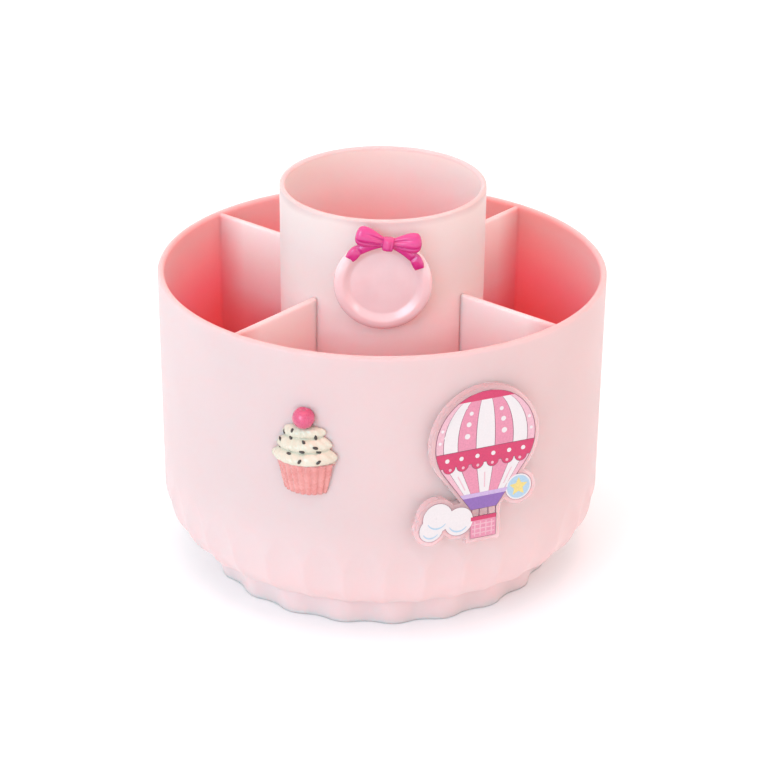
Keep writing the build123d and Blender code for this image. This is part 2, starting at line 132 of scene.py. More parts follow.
def ramp(tree, factor, *stops):
    """A colour ramp through stops, each a position and a colour."""
    made = tree.nodes.new("ShaderNodeValToRGB")
    elements = made.color_ramp.elements
    for element, (position, colour) in zip(elements, (stops[0], stops[-1])):
        element.position = position
        element.color = (*colour, 1)
    for position, colour in stops[1:-1]:
        elements.new(position).color = (*colour, 1)
    tree.links.new(factor, made.inputs["Fac"])
    return made.outputs["Color"]


def blend(tree, factor, low, high):
    """A colour that runs from low to high over the middle of a noise factor."""
    return ramp(tree, factor, (0.3, low), (0.7, high))


def spread(tree, factor, low, high):
    """A number that runs from low to high as the factor does."""
    mapped = node(tree, "ShaderNodeMapRange", To_Min=low, To_Max=high)
    tree.links.new(factor, mapped.inputs["Value"])
    return mapped.outputs["Result"]


def rough_skin(tree, shader, height, strength, distance):
    """Bump from a height socket on the shader's normal; returns the bump node."""
    bump = node(tree, "ShaderNodeBump", Strength=strength, Distance=distance)
    tree.links.new(height, bump.inputs["Height"])
    tree.links.new(bump.outputs["Normal"], shader.inputs["Normal"])
    return bump


def clouded(name, low, high, clouds, sheen):
    """A finish with colour from low to high in clouds (scale, detail) and sheen (scale, low, high)."""
    finish, tree, shader = new_finish(name)
    tree.links.new(blend(tree, noise(tree, *clouds), low, high), shader.inputs["Base Color"])
    scale, smoothest, roughest = sheen
    tree.links.new(spread(tree, noise(tree, scale), smoothest, roughest), shader.inputs["Roughness"])
    return finish, tree, shader


print("node helpers ready")

# %% [markdown]
# ## Floor and studio light
#
# The picture has a white ground and very soft light that is cooler from the front left. A white
# world does most of the work, as white walls round a table would: it is strong enough that the
# pale floor turns pure white, so the shadow under the foot stays faint. One large cool lamp
# shades the drum from left to right, a warm one overhead reaches into the compartments, and two
# small ones draw the glints on the resin.

# %% Floor, world and lamps
def white_world(left, right, strength):
    """A near-white surround that dims and warms a little towards the right."""
    world = bpy.data.worlds.new("studio_white")
    world.use_nodes = True
    tree = world.node_tree
    split = tree.nodes.new("ShaderNodeSeparateXYZ")
    tree.links.new(tree.nodes.new("ShaderNodeTexCoord").outputs["Generated"], split.inputs["Vector"])
    share = node(tree, "ShaderNodeMapRange", From_Min=-1.0)
    tree.links.new(split.outputs["X"], share.inputs["Value"])
    background = tree.nodes["Background"]
    tint = ramp(tree, share.outputs["Result"], (0.4, left), (0.9, right))
    tree.links.new(tint, background.inputs["Color"])
    background.inputs["Strength"].default_value = strength
    scene.world = world


def soft_lamp(name, place, aim, size, power, colour):
    """A square area lamp that looks at a point."""
    lamp_data = bpy.data.lights.new(name, "AREA")
    lamp_data.size = size
    lamp_data.energy = power
    lamp_data.color = colour
    lamp = bpy.data.objects.new(name, lamp_data)
    lamp.location = place
    lamp.rotation_euler = (Vector(aim) - Vector(place)).to_track_quat("-Z", "Y").to_euler()
    scene.collection.objects.link(lamp)


def pale_floor(half_width):
    """A large plane with a faint mottling."""
    mesh = bpy.data.meshes.new("floor")
    corners = [(-half_width, -half_width, 0), (half_width, -half_width, 0),
               (half_width, half_width, 0), (-half_width, half_width, 0)]
    mesh.from_pydata(corners, [], [(0, 1, 2, 3)])
    floor = bpy.data.objects.new("floor", mesh)
    scene.collection.objects.link(floor)
    finish, tree, shader = new_finish("floor_white")
    tint = blend(tree, noise(tree, 3.0), (0.96, 0.96, 0.96), (0.98, 0.98, 0.98))
    tree.links.new(tint, shader.inputs["Base Color"])
    shader.inputs["Roughness"].default_value = 0.9
    floor.data.materials.append(finish)


cool, warm, white = (0.30, 0.80, 1.0), (1.0, 0.15, 0.15), (1.0, 1.0, 1.0)
drum_middle, charm_middle = (0, 0, 0.06), (0, 0, 0.10)
white_world(left=(0.905, 0.92, 0.92), right=(0.83, 0.80, 0.79), strength=1.32)
pale_floor(half_width=4.0)
soft_lamp("key_left", (-0.90, -1.10, 0.55), drum_middle, size=0.8, power=8.0, colour=cool)
soft_lamp("warm_top", (0, -0.20, 0.90), drum_middle, size=0.5, power=3.2, colour=warm)
soft_lamp("glint_right", (0.95, -1.10, 0.50), charm_middle, size=0.25, power=0.8, colour=white)
soft_lamp("glint_top", (0.10, -0.80, 1.30), charm_middle, size=0.2, power=0.4, colour=white)
scene.view_settings.view_transform = "Standard"
print("stage ready")

# %% [markdown]
# ## Pale pink moulded plastic
#
# Drum, cup and foot are moulded in one satin plastic. It lets light through, so a compartment
# glows a deeper pink the further down one looks: that light has passed through walls and gone
# from wall to wall. Following every bounce would make the render slow, so the colour itself
# deepens with the depth below the rim, on the faces that look into a compartment. Slow clouds
# in the colour and a fine grain in the bump keep the outside from looking like plain paint.

# %% How deep a point lies in the holder
rim_radius, rim_height, drum_draft, drum_wall = 75.0, 105.0, 1.05, 2.2
bowl_radius, bowl_level = 22.0, 29.4
cup_rim_radius, cup_rim_height, cup_draft, cup_wall = 34.3, 135.0, 0.5, 1.8


def number(tree, operation, first, second=0.0):
    """One Math node; each operand is a socket or a plain number."""
    made = tree.nodes.new("ShaderNodeMath")
    made.operation = operation
    for place, operand in enumerate((first, second)):
        if isinstance(operand, float):
            made.inputs[place].default_value = operand
        else:
            tree.links.new(operand, made.inputs[place])
    return made.outputs[0]


def length(tree, first, second):
    """The length of the diagonal over two sides."""
    squares = [number(tree, "MULTIPLY", side, side) for side in (first, second)]
    return number(tree, "SQRT", number(tree, "ADD", *squares))


def height_and_radius(tree):
    """Sockets for a point's height and its distance from the turning axis, in millimetres."""
    split = tree.nodes.new("ShaderNodeSeparateXYZ")
    tree.links.new(object_position(tree), split.inputs["Vector"])
    radius = length(tree, split.outputs["X"], split.outputs["Y"])
    return number(tree, "DIVIDE", split.outputs["Z"], MM), number(tree, "DIVIDE", radius, MM)


def wall_radius(tree, height, top_radius, top_height, draft):
    """Outside radius of a drafted wall at a height."""
    fall = number(tree, "SUBTRACT", top_height, height)
    slope = math.tan(math.radians(draft))
    return number(tree, "SUBTRACT", top_radius, number(tree, "MULTIPLY", fall, slope))


def depth_below(tree, height, top, reach):
    """Zero at a rim and above it, one at a reach below it."""
    share = number(tree, "DIVIDE", number(tree, "SUBTRACT", top, height), reach)
    return number(tree, "MINIMUM", number(tree, "MAXIMUM", share, 0.0), 1.0)


print("depth helpers ready")

# %% [markdown]
# Each list below is a walk down one face: a share of its reach below the rim and the colour there.
# The dividers stay light for longer than the wall does, because they take light from both sides.
# A bevel node softens the look of the edges, which are sharp in the CAD model.

# %% Pale pink plastic on the three mouldings
glow_reach, cup_outside_reach, cup_inside_reach = 62.0, 80.0, 120.0
# Height and reach of the painted light that lightens the drum's outside towards the foot.
painted_light_top, painted_light_reach = 45.0, 35.0
# Depths below the rims over which painted shade darkens their top faces.
drum_rim_shade_reach, cup_rim_shade_reach = 1.0, 1.5
waver = 3.0
slow_clouds = (22.0, 3.0)
divider_glow = (
    (0.0, (0.94, 0.77, 0.75)),
    (0.2, (0.98, 0.72, 0.70)),
    (0.4, (0.99, 0.64, 0.66)),
    (0.55, (0.99, 0.38, 0.43)),
    (0.7, (0.99, 0.24, 0.27)),
    (1.0, (0.97, 0.34, 0.36)),
)
wall_glow = (
    (0.0, (0.77, 0.42, 0.41)),
    (0.08, (0.77, 0.47, 0.46)),
    (0.25, (0.88, 0.40, 0.42)),
    (0.4, (0.92, 0.32, 0.37)),
    (0.6, (0.88, 0.26, 0.28)),
    (1.0, (0.91, 0.34, 0.35)),
)
cup_outside_glow = (
    (0.0, (0.56, 0.48, 0.46)),
    (0.02, (0.62, 0.54, 0.52)),
    (0.04, (0.69, 0.63, 0.60)),
    (0.2, (0.70, 0.62, 0.60)),
    (0.35, (0.79, 0.66, 0.63)),
    (0.5, (0.99, 0.72, 0.71)),
    (0.75, (0.99, 0.58, 0.58)),
    (1.0, (0.99, 0.39, 0.40)),
)
cup_inside_glow = (
    (0.0, (0.76, 0.70, 0.66)),
    (0.07, (0.78, 0.68, 0.66)),
    (0.1, (0.81, 0.67, 0.655)),
    (0.2, (0.91, 0.60, 0.60)),
    (1.0, (0.95, 0.44, 0.44)),
)


def satin_plastic(name, low, high, softness):
    """Satin plastic with slow clouds from low to high; softness rounds the look of its edges."""
    finish, tree, shader = clouded(name, low, high, slow_clouds, (70.0, 0.38, 0.50))
    tint = shader.inputs["Base Color"].links[0].from_socket
    set_inputs(
        shader,
        Subsurface_Weight=0.8,
        Subsurface_Radius=(1.0, 0.35, 0.32),
        Subsurface_Scale=0.005,
        IOR=1.49,
        Specular_IOR_Level=0.08,
    )
    bump = rough_skin(tree, shader, noise(tree, 1500.0, detail=1.0), 0.05, 0.0002)
    rounded = node(tree, "ShaderNodeBevel", Radius=softness * MM)
    rounded.samples = 8
    tree.links.new(rounded.outputs["Normal"], bump.inputs["Normal"])
    return finish, tree, shader, tint


def mix(tree, factor, low, high):
    """A colour between two colour sockets."""
    made = tree.nodes.new("ShaderNodeMix")
    made.data_type = "RGBA"
    colours = [socket for socket in made.inputs if socket.type == "RGBA"]
    for colour, socket in zip(colours, (low, high)):
        tree.links.new(socket, colour)
    tree.links.new(factor, made.inputs["Factor"])
    return [socket for socket in made.outputs if socket.type == "RGBA"][0]


def drum_plastic():
    """Pale outside, painted lighter towards the foot as painted light and darker on the rim top as
    painted shade; a painted glow of deeper pink on the dividers, deepest on the inner wall and the
    floor.
    """
    finish, tree, shader, outside = satin_plastic(
        "drum_plastic", (0.592, 0.482, 0.475), (0.614, 0.501, 0.494), softness=2.0
    )
    height, radius = height_and_radius(tree)
    # Painted light: the outside is painted lighter from a height down towards the foot.
    painted_light_near_foot = blend(tree, noise(tree, *slow_clouds), (0.665, 0.524, 0.520), (0.690, 0.544, 0.540))
    outside = mix(tree, depth_below(tree, height, painted_light_top, painted_light_reach), outside, painted_light_near_foot)
    # Painted shade: the rim's top face is painted darker, against the light it catches from above.
    lip = blend(tree, noise(tree, *slow_clouds), (0.580, 0.440, 0.430), (0.605, 0.460, 0.450))
    outer = wall_radius(tree, height, rim_radius, rim_height, drum_draft)
    bend = number(tree, "SUBTRACT", outer, bowl_radius)
    past_bend = number(tree, "MAXIMUM", number(tree, "SUBTRACT", radius, bend), 0.0)
    below_bend = number(tree, "MAXIMUM", number(tree, "SUBTRACT", bowl_level, height), 0.0)
    from_bend = length(tree, past_bend, below_bend)
    inside = number(tree, "LESS_THAN", from_bend, bowl_radius - 0.7 * drum_wall)
    near_wall = spread(tree, number(tree, "DIVIDE", from_bend, bowl_radius), -0.8, 1.2)
    near_wall = number(tree, "MINIMUM", number(tree, "MAXIMUM", near_wall, 0.0), 1.0)
    depth = depth_below(tree, height, rim_height, glow_reach)
    glow = mix(tree, near_wall, ramp(tree, depth, *divider_glow), ramp(tree, depth, *wall_glow))
    sides = mix(tree, inside, outside, glow)
    past_rim = depth_below(tree, height, rim_height, drum_rim_shade_reach)
    tree.links.new(mix(tree, past_rim, lip, sides), shader.inputs["Base Color"])
    return finish


def cup_plastic():
    """Pale but painted darker on its rim top as painted shade; a painted glow of deeper pink towards
    the drum's floor and inside the cup.
    """
    # The cup's own clouds serve only as painted shade on its rim top, darker against the light from
    # above.
    finish, tree, shader, lip = satin_plastic(
        "cup_plastic", (0.600, 0.475, 0.475), (0.625, 0.500, 0.500), softness=0.5
    )
    height, radius = height_and_radius(tree)
    outer = wall_radius(tree, height, cup_rim_radius, cup_rim_height, cup_draft)
    inside = number(tree, "LESS_THAN", radius, number(tree, "SUBTRACT", outer, cup_wall / 2))
    ripple = spread(tree, noise(tree, *slow_clouds), -waver, waver)
    wavering = number(tree, "ADD", height, ripple)
    depth_within = depth_below(tree, height, cup_rim_height, cup_inside_reach)
    depth_around = depth_below(tree, wavering, cup_rim_height, cup_outside_reach)
    around = ramp(tree, depth_around, *cup_outside_glow)
    past_rim = depth_below(tree, height, cup_rim_height, cup_rim_shade_reach)
    within = mix(tree, past_rim, lip, ramp(tree, depth_within, *cup_inside_glow))
    tree.links.new(mix(tree, inside, around, within), shader.inputs["Base Color"])
    return finish


def dress(node_name, finish):
    """Puts a finish on a CAD node."""
    piece = nodes[node_name]
    piece.data.materials.clear()
    piece.data.materials.append(finish)


dress("drum", drum_plastic())
dress("centre_cup", cup_plastic())
# Same plastic as the drum, painted lighter than the drum's outside: painted light on the foot.
painted_light_foot_plastic = satin_plastic(
    "painted_light_foot_plastic", (0.765, 0.560, 0.555), (0.790, 0.585, 0.580), softness=1.0
)[0]
dress("base_foot", painted_light_foot_plastic)
print("mouldings dressed")

# %% [markdown]
# ## A frame for each charm
#
# A charm is easiest to shape lying flat, in millimetres: across, up and out of the wall. One
# matrix then stands it on the leaning round wall. The wall's radius at the charm's height
# follows from the rim and the mould's draft, the same values that shaped the CAD solids.

# %% Charm frames
glue_film = 0.25
dish_azimuth, dish_height = -4.7, 113.8
cupcake_azimuth, cupcake_height = -24.0, 71.8
plaque_azimuth, plaque_height = 19.4, 65.5


def on_wall(azimuth, height, top_radius, top_height, draft):
    """Matrix from a charm's own millimetres to its place on a drafted wall."""
    turn = math.radians(azimuth)
    lean = math.radians(draft)
    radius = top_radius - (top_height - height) * math.tan(lean) + glue_film
    across = Vector((math.cos(turn), math.sin(turn), 0))
    out = Vector((math.sin(turn) * math.cos(lean), -math.cos(turn) * math.cos(lean), -math.sin(lean)))
    place = Vector((radius * math.sin(turn), -radius * math.cos(turn), height))
    axes = Matrix((across, out.cross(across), out)).transposed().to_4x4()
    return Matrix.Translation(place * MM) @ axes @ Matrix.Scale(MM, 4)


drum_side = (rim_radius, rim_height, drum_draft)
dish_place = on_wall(dish_azimuth, dish_height, cup_rim_radius, cup_rim_height, cup_draft)
cupcake_place = on_wall(cupcake_azimuth, cupcake_height, *drum_side)
plaque_place = on_wall(plaque_azimuth, plaque_height, *drum_side)
print("dish stands at", [round(c, 4) for c in dish_place.translation])

# %% [markdown]
# A cast shape is a row of rings of points, like the hoops of a barrel. Bridging each ring to the
# next with quads gives a closed skin that stays easy to reason about: to change the shape, change
# the formula of a ring.

# %% Skins of rings
def skin(rings, shell=None):
    """Bridges a row of equal rings of points with quads and closes both ends."""
    shell = shell or bmesh.new()
    rows = [[shell.verts.new(point) for point in ring] for ring in rings]
    count = len(rows[0])
    for row, following in zip(rows, rows[1:]):
        for step in range(count):
            after = (step + 1) % count
            shell.faces.new((row[step], row[after], following[after], following[step]))
    shell.faces.new(rows[0][::-1])
    shell.faces.new(rows[-1])
    return shell


def turns(steps):
    """Equal angles once round a circle."""
    return [2 * math.pi * step / steps for step in range(steps)]


def smooth_step(share):
    """Eases from zero to one with level ends."""
    share = min(1.0, max(0.0, share))
    return share * share * (3 - 2 * share)


def groove(distance, width):
    """One at a groove's bottom, fading to zero at its sides."""
    return math.exp(-((distance / width) ** 2))


def flat_back(shell):
    """Cuts away what lies behind the charm's back and closes the cut."""
    everything = shell.verts[:] + shell.edges[:] + shell.faces[:]
    cut = bmesh.ops.bisect_plane(
        shell, geom=everything, plane_co=(0, 0, 0), plane_no=(0, 0, 1), clear_inner=True
    )
    edges = [part for part in cut["geom_cut"] if isinstance(part, bmesh.types.BMEdge)]
    bmesh.ops.holes_fill(shell, edges=edges, sides=0)


def place_piece(name, shell, place, finish, smooth=True):
    """Makes an object of a shell, stands it on its wall and lets it ride on the drum."""
    bmesh.ops.recalc_face_normals(shell, faces=shell.faces[:])
    mesh = bpy.data.meshes.new(name)
    shell.to_mesh(mesh)
    shell.free()
    mesh.transform(place)
    for face in mesh.polygons:
        face.use_smooth = smooth
    mesh.materials.append(finish)
    piece = bpy.data.objects.new(name, mesh)
    scene.collection.objects.link(piece)
    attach(piece, "turning_drum")
    return piece


print("skin helpers ready")

# %% [markdown]
# ## The dish
#
# The round charm on the cup is a shallow dish of glossy resin with a broad soft rim. It is a
# turned shape, so its half section is enough: a back that rises to the edge, a rim that rolls
# over, a hollow slope and a flat well. The hollow slope matters most, because it catches the
# small highlights at the bottom. A hard clear coat keeps them bright.

# %% Dish
dish_radius, dish_crest_radius, dish_slope_foot = 16.0, 13.5, 10.3
dish_well_level, dish_rim_level, dish_edge_level = 1.4, 2.8, 1.1


def glossy_resin(name, low, high, scatter):
    """Cast resin: clouded colour under a hard clear coat."""
    finish, tree, shader = clouded(name, low, high, (160.0, 3.0), (420.0, 0.16, 0.28))
    set_inputs(shader, Coat_Weight=0.7, Coat_Roughness=0.10)
    set_inputs(
        shader, Subsurface_Weight=scatter, Subsurface_Radius=(1.0, 0.4, 0.4), Subsurface_Scale=0.002
    )
    rough_skin(tree, shader, noise(tree, 260.0), 0.05, 0.0003)
    return finish


def dish_section(steps=14):
    """Half section from the back's middle over the rim to the middle of the well."""
    section = [(0.2, 0.0), (dish_crest_radius, 0.0)]
    for step in range(steps + 1):
        angle = math.pi / 2 * step / steps
        radius = dish_crest_radius + (dish_radius - dish_crest_radius) * math.cos(angle) ** 0.8
        level = dish_edge_level + (dish_rim_level - dish_edge_level) * math.sin(angle) ** 0.8
        section.append((radius, level))
    for step in range(1, steps + 1):
        share = step / steps
        radius = dish_crest_radius + (dish_slope_foot - dish_crest_radius) * share
        level = dish_rim_level + (dish_well_level - dish_rim_level) * smooth_step(share)
        section.append((radius, level))
    return section + [(dish_slope_foot / 2, dish_well_level), (0.2, dish_well_level)]


def dish_ring(radius, level, steps=128):
    """A ring of points about the dish's outward axis."""
    return [Vector((radius * math.cos(turn), radius * math.sin(turn), level)) for turn in turns(steps)]


pink_resin = glossy_resin(
    "pale_pink_resin", (0.830, 0.572, 0.575), (0.860, 0.616, 0.617), scatter=0.4
)
dish_shell = skin([dish_ring(*point) for point in dish_section()])
dish = place_piece("dish", dish_shell, dish_place, pink_resin)
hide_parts("dish_charm")
print("dish:", len(dish.data.vertices), "points")

# %% [markdown]
# ## The bow
#
# The magenta bow is one resin casting, so its loops, tails and knot run into each other with
# soft corners. Each loop is a fan of rings with creases that run out from the knot. Each tail
# is a flat ribbon that folds near its end and widens into a blunt flap. A voxel remesh fuses
# them, and a short smoothing rounds the joints as a mould would.

# %% Loops of the bow
bow_across, bow_up, bow_tilt = 1.5, 15.4, math.radians(-8.0)
loop_length, loop_width, loop_thickness = 10.9, 6.9, 4.0
loop_angle, loop_lift = math.radians(9.0), 1.4
loop_fullest, deepest_crease = 0.76, 0.75
# Each crease: its place across the loop, its width, its depth and its reach along the loop.
loop_creases = ((0.40, 0.16, 0.55, 1.0), (-0.50, 0.12, 0.75, 1.25), (-0.02, 0.20, 0.22, 0.50))


def loop_swell(along):
    """Width of a loop along its length: narrow at the knot, fan-shaped, blunt at the tip."""
    if along > loop_fullest:
        return math.sqrt(max(0.0, 1 - ((along - loop_fullest) / (1 - loop_fullest)) ** 3))
    return 0.40 + 0.60 * smooth_step(along / loop_fullest)


def loop_crease(across, along):
    """Depth of the folds that fan out from the knot, as a share of the thickness."""
    depth = 0.0
    for place, width, deepest, reach in loop_creases:
        depth += deepest * groove(across - place, width) * (1 - smooth_step(along / reach))
    return min(depth, deepest_crease)


def loop_rings(side, steps=40, round_steps=72):
    """Rings about a loop's own axis, which rises a little from the knot."""
    axis = Vector((side * math.cos(loop_angle), math.sin(loop_angle), 0))
    cross = Vector((-side * math.sin(loop_angle), math.cos(loop_angle), 0))
    rings = []
    for step in range(steps + 1):
        along = 0.04 + 0.955 * step / steps
        half_width = loop_width / 2 * loop_swell(along)
        half_thickness = loop_thickness / 2 * loop_swell(along) ** 0.8
        ring = []
        for turn in turns(round_steps):
            across = math.cos(turn)
            rise = math.sin(turn) * half_thickness
            if rise > 0:
                rise *= 1 - loop_crease(across, along)
            point = axis * (along * loop_length) + cross * (across * half_width)
            point.z = max(0.0, loop_lift + rise)
            ring.append(point)
        rings.append(ring)
    return rings


print("a loop has", len(loop_rings(1)), "rings")

# %% [markdown]
# A tail bends as it goes, so it is drawn like a walk: each ring is one short step further along a
# slope that changes. The knot is a small cushion, made from a circle whose sine and cosine are
# raised to a power, which squares its corners.

# %% Tails and knot of the bow
tail_length, tail_angle = 14.5, math.radians(29.5)
tail_sag, flap_turn = math.radians(11.0), math.radians(22.0)
tail_root_half, tail_fold_half, tail_flap_half, tail_end_half = 1.3, 1.75, 1.95, 1.6
tail_thickness, tail_fold, tail_notch = 1.8, 0.68, 0.6
knot_width, knot_height, knot_thickness = 3.7, 4.6, 4.4
knot_squareness = 0.7
# Each crease: its place across the knot, its width and its depth.
knot_creases = ((-0.45, 0.15, 0.12), (0.48, 0.16, 0.16))


def tail_half_width(along):
    """Half width of a tail: a narrow ribbon up to its fold, then a wider flap."""
    if along < tail_fold:
        return tail_root_half + (tail_fold_half - tail_root_half) * along / tail_fold
    past = (along - tail_fold) / (1 - tail_fold)
    flap = tail_fold_half + (tail_flap_half - tail_fold_half) * smooth_step(past / 0.35)
    return flap + (tail_end_half - tail_flap_half) * smooth_step((past - 0.6) / 0.4)


def tail_top(across, along):
    """Height of a tail's face: rounded edges, a crease at the fold and a rising flap."""
    rounding = max(0.0, 1 - abs(across) ** 3.5) ** 0.5
    fold = 0.42 * groove(along - tail_fold, 0.035)
    flap = 0.12 * smooth_step((along - tail_fold) / 0.1) * (1 - along)
    ridge = 0.10 * groove(across - 0.2, 0.35) * (along < tail_fold)
    return tail_thickness * (0.30 + 0.62 * rounding * (1 - fold) + flap + ridge)


def tail_slope(along):
    """How steeply a tail falls at a share of its length: it sags, then its flap turns down."""
    turn_down = flap_turn * smooth_step((along - tail_fold) / 0.12)
    return tail_angle - tail_sag * math.cos(math.pi * along) + turn_down


def tail_rings(side, steps=48, across_steps=20):
    """Rings across a flat ribbon with a fold near its end and a slightly notched tip."""
    middle = Vector((0, 0, 0))
    rings = []
    for step in range(steps + 1):
        along = step / steps
        slope = tail_slope(along)
        way = Vector((side * math.cos(slope), -math.sin(slope), 0))
        cross = Vector((side * math.sin(slope), math.cos(slope), 0))
        top, under = [], []
        for place in range(across_steps + 1):
            across = 2 * place / across_steps - 1
            notch = tail_notch * along**8 * (1 - abs(across))
            point = middle + cross * (across * tail_half_width(along)) - way * notch
            rise = tail_top(across, along) * (1 - 0.35 * along**12)
            top.append(Vector((point.x, point.y, rise)))
            under.append(Vector((point.x, point.y, 0)))
        rings.append(top + under[::-1])
        middle += way * tail_length / steps
    return rings


def pillow(share, squareness):
    """Cosine or sine made squarer, for a cushion-shaped ring."""
    return math.copysign(abs(share) ** squareness, share)


def knot_rings(steps=24, round_steps=64):
    """Rings up a pillow-shaped knot with two upright folds on its face."""
    rings = []
    for step in range(steps + 1):
        level = -0.98 + 1.96 * step / steps
        girth = (1 - abs(level) ** 4) ** 0.4
        ring = []
        for turn in turns(round_steps):
            across = pillow(math.cos(turn), knot_squareness)
            lift = pillow(math.sin(turn), knot_squareness)
            fold = sum(
                depth * groove(across - place, width) for place, width, depth in knot_creases
            )
            rise = girth * lift * (1 - fold * (lift > 0))
            out = knot_thickness / 2 * (1 + rise)
            aside = across * knot_width / 2 * (0.8 + 0.2 * girth)
            ring.append(Vector((aside, level * knot_height / 2, max(0.0, out))))
        rings.append(ring)
    return rings


print("a tail has", len(tail_rings(1)), "rings and the knot", len(knot_rings()))

# %% [markdown]
# Five closed skins now overlap at the knot. The remesh walks a fine grid of cubes through them
# and keeps only the outer surface, so the bow becomes one clean skin without hidden faces.

# %% Cast the bow in one
bow_voxel, bow_smoothing = 0.13 * MM, 3


def cast_together(piece, voxel, passes):
    """Fuses the skins of a piece and rounds its joints, then keeps the result as its mesh."""
    fuse = piece.modifiers.new("fuse", "REMESH")
    fuse.mode = "VOXEL"
    fuse.voxel_size = voxel
    fuse.use_smooth_shade = True
    ease = piece.modifiers.new("ease", "SMOOTH")
    ease.iterations = passes
    depsgraph = bpy.context.evaluated_depsgraph_get()
    cast = bpy.data.meshes.new_from_object(piece.evaluated_get(depsgraph))
    piece.modifiers.clear()
    piece.data = cast
    for face in cast.polygons:
        face.use_smooth = True


on_dish = Matrix.Translation((bow_across, bow_up, dish_rim_level + glue_film))
bow_place = dish_place @ on_dish @ Matrix.Rotation(bow_tilt, 4, "Z")
bow_shell = bmesh.new()
for rings in (loop_rings(1), loop_rings(-1), tail_rings(1), tail_rings(-1), knot_rings()):
    skin(rings, bow_shell)
magenta_resin = glossy_resin(
    "magenta_resin", (0.56, 0.018, 0.178), (0.62, 0.034, 0.222), scatter=0.06
)
bow = place_piece("bow", bow_shell, bow_place, magenta_resin)
cast_together(bow, bow_voxel, bow_smoothing)
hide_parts("bow_charm")
print("bow:", len(bow.data.vertices), "points")

# %% [markdown]
# ## The cupcake
#
# The charm at the left is a painted casting in half relief: a pleated case, a swirl of icing
# with dark chips and a cherry. It is turned about an axis that lies behind its flat back, so
# each part is a stack of rings whose radius waves with the angle, cut flat afterwards. The
# swirl is one ridge that climbs round the cone, and fine ribs along it show that it was piped.

# %% Cupcake case and icing
cupcake_sink = 6.0
case_height, case_radii = 11.5, (9.3, 11.9)
case_pleats, pleat_depth, case_flare = 28, 0.75, 0.35
icing_levels, icing_rise, icing_radii = 3, 4.3, (13.2, 8.4)
swirl_depth, rib_count, rib_depth = 1.5, 26, 0.16
icing_base = -icing_rise
case_steps, icing_steps = 16, 72


def upright_ring(radius_at, level, steps=192):
    """A ring about the cupcake's upright axis, with a radius for each angle from the front."""
    ring = []
    for turn in turns(steps):
        radius = radius_at(turn)
        ring.append(Vector((radius * math.sin(turn), level, radius * math.cos(turn) - cupcake_sink)))
    return ring


def case_ring(share):
    """Ring of the pleated paper case; its lip flares at the top."""
    flare = case_flare * max(0.0, (share - 0.86) / 0.14)
    radius = case_radii[0] + (case_radii[1] - case_radii[0]) * share + flare

    def radius_at(turn):
        return radius - pleat_depth * (1 - abs(math.cos(case_pleats * turn / 2)) ** 0.7)

    return upright_ring(radius_at, icing_base - case_height * (1 - share))


def icing_ring(share):
    """Ring of the swirl: one ridge climbs round the tapering cone, a rise a turn."""
    height = share * icing_levels * icing_rise
    girth = icing_radii[0] + (icing_radii[1] - icing_radii[0]) * share**1.15
    top = max(0.0, (share - 0.9) / 0.1)
    foot = max(0.0, 1 - share / 0.06)
    girth *= math.sqrt(max(0.05, 1 - top**2)) * (1 - 0.10 * foot**2)

    def radius_at(turn):
        phase = height / icing_rise - turn / (2 * math.pi)
        ridge = abs(math.sin(math.pi * phase)) ** 0.65
        rib = rib_depth * math.cos(rib_count * turn + 9.0 * phase)
        return girth - swirl_depth * (1 - ridge) + rib * ridge

    return upright_ring(radius_at, icing_base - 0.4 + height)


def painted_resin(name, low, high):
    """Hand-painted resin: brushed colour under a thin gloss."""
    finish, tree, shader = clouded(name, low, high, (300.0, 4.0), (700.0, 0.20, 0.36))
    set_inputs(shader, Coat_Weight=0.4, Coat_Roughness=0.08)
    rough_skin(tree, shader, noise(tree, 900.0), 0.10, 0.0002)
    return finish


salmon_paint = painted_resin("salmon_paint", (0.58, 0.195, 0.178), (0.65, 0.265, 0.24))
cream_paint = painted_resin("cream_paint", (0.57, 0.515, 0.40), (0.62, 0.575, 0.465))
case_shell = skin([case_ring(step / case_steps) for step in range(case_steps + 1)])
icing_shell = skin([icing_ring(step / icing_steps) for step in range(icing_steps + 1)])
for shell in (case_shell, icing_shell):
    flat_back(shell)
case = place_piece("cupcake_case", case_shell, cupcake_place, salmon_paint)
icing = place_piece("cupcake_icing", icing_shell, cupcake_place, cream_paint)
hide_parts("cupcake_charm")
print("case and icing:", len(case.data.vertices), len(icing.data.vertices), "points")

# %% [markdown]
# The chips are stubby lumps pressed into the icing. Two steps that never fall into a pattern
# spread them over the front, so every run of the lesson gives the same cupcake. The cherry has
# a dimple where its stalk was.

# %% Chips and cherry
chip_count, chip_size = 13, 0.95
chip_steps = (0.7549, 0.5698)
chip_spread = math.radians(52.0)
chip_lowest, chip_climb, chip_lean = 0.07, 0.78, 1.3
cherry_radius, cherry_out, cherry_lift = 3.6, 1.4, 2.2
cherry_level = icing_base + icing_levels * icing_rise + cherry_lift


def chip(shell, sideways, share, lean):
    """One squashed chip that sits on the swirl."""
    ring = icing_ring(share)
    spot = ring[round(sideways / (2 * math.pi) * len(ring)) % len(ring)]
    facing = Vector((spot.x, 0, spot.z + cupcake_sink)).to_track_quat("Z", "Y").to_matrix().to_4x4()
    shape = Matrix.Rotation(lean, 4, "Z") @ Matrix.Diagonal((1.0, 0.55, 0.45, 1.0))
    bmesh.ops.create_icosphere(
        shell, subdivisions=3, radius=chip_size, matrix=Matrix.Translation(spot) @ facing @ shape
    )


def cherry_rings(steps=28, round_steps=48):
    """Rings of a cherry with a dimple at its top."""
    rings = []
    for step in range(steps + 1):
        polar = math.pi * (0.02 + 0.96 * step / steps)
        radius = cherry_radius * (1 - 0.22 * groove(polar, 0.35))
        level = cherry_level + radius * math.cos(polar)
        girth = radius * math.sin(polar)
        rings.append([
            Vector((girth * math.sin(turn), level, cherry_out + girth * math.cos(turn)))
            for turn in turns(round_steps)
        ])
    return rings


